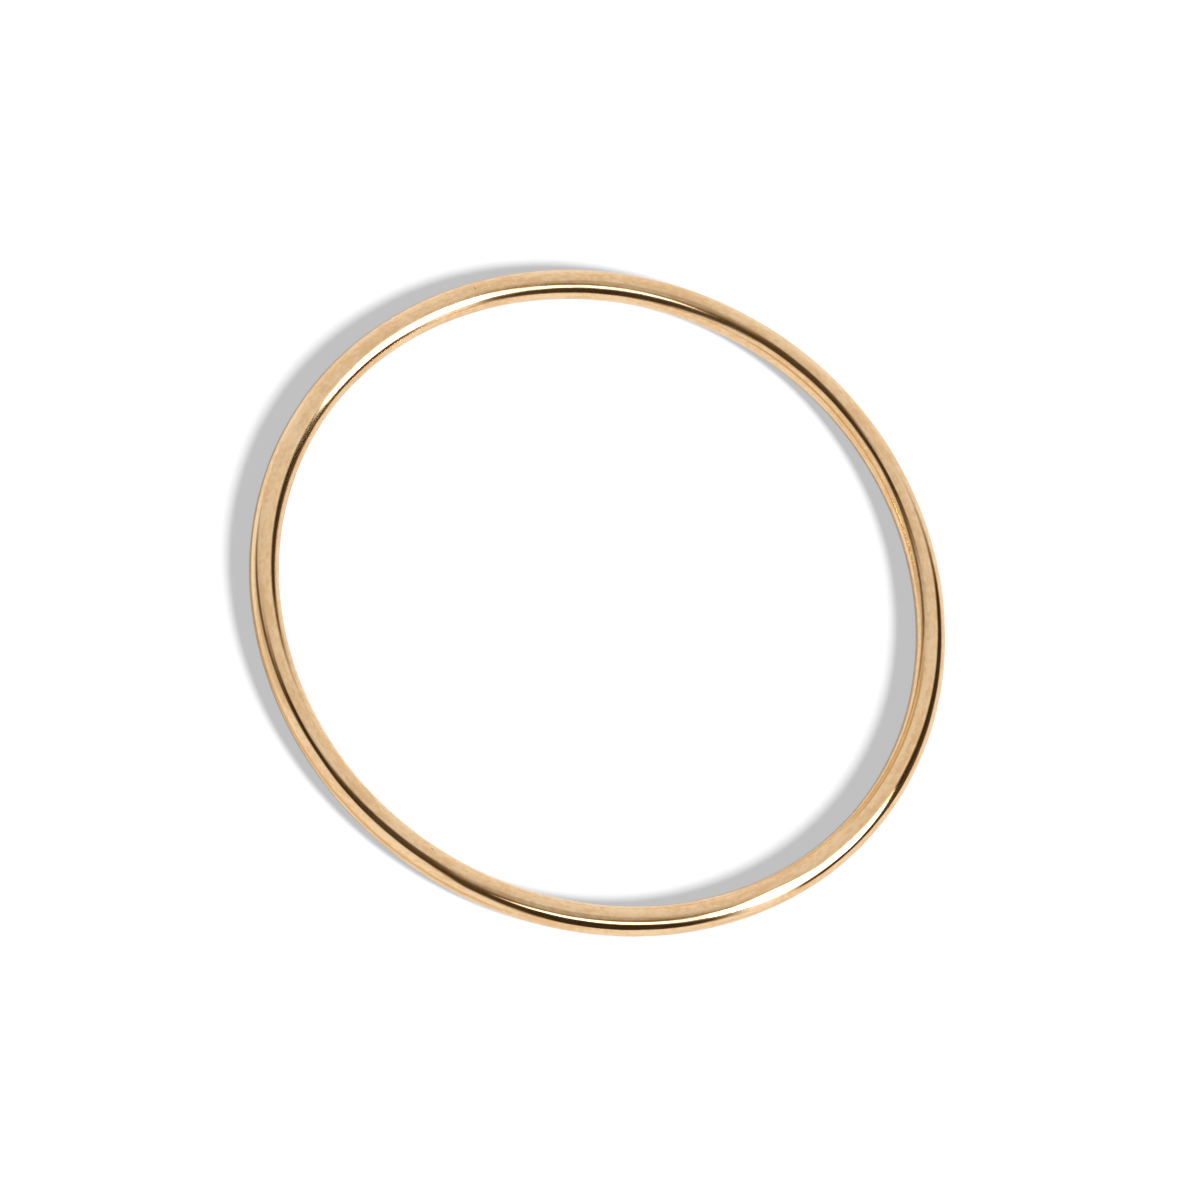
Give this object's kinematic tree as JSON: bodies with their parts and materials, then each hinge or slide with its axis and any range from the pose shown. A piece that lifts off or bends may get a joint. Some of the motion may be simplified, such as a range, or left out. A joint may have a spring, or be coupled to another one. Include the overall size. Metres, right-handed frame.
{
  "type": "stackable ring",
  "caption": "Plain polished gold finger ring: a thin closed hoop of round wire with no stone or setting, worn alone or stacked.",
  "frame": {"origin": "centre of the finger hole, on the plane that the ring lies on", "axes": "+Z along the finger hole's axis, up when the ring lies flat; +X and +Y across the hoop"},
  "size_m": [0.0188, 0.0188, 0.0008],
  "materials": {
    "gold_wire": "polished"
  },
  "bodies": {
    "root": {"ring_hoop": "gold_wire"}
  },
  "joints": []
}
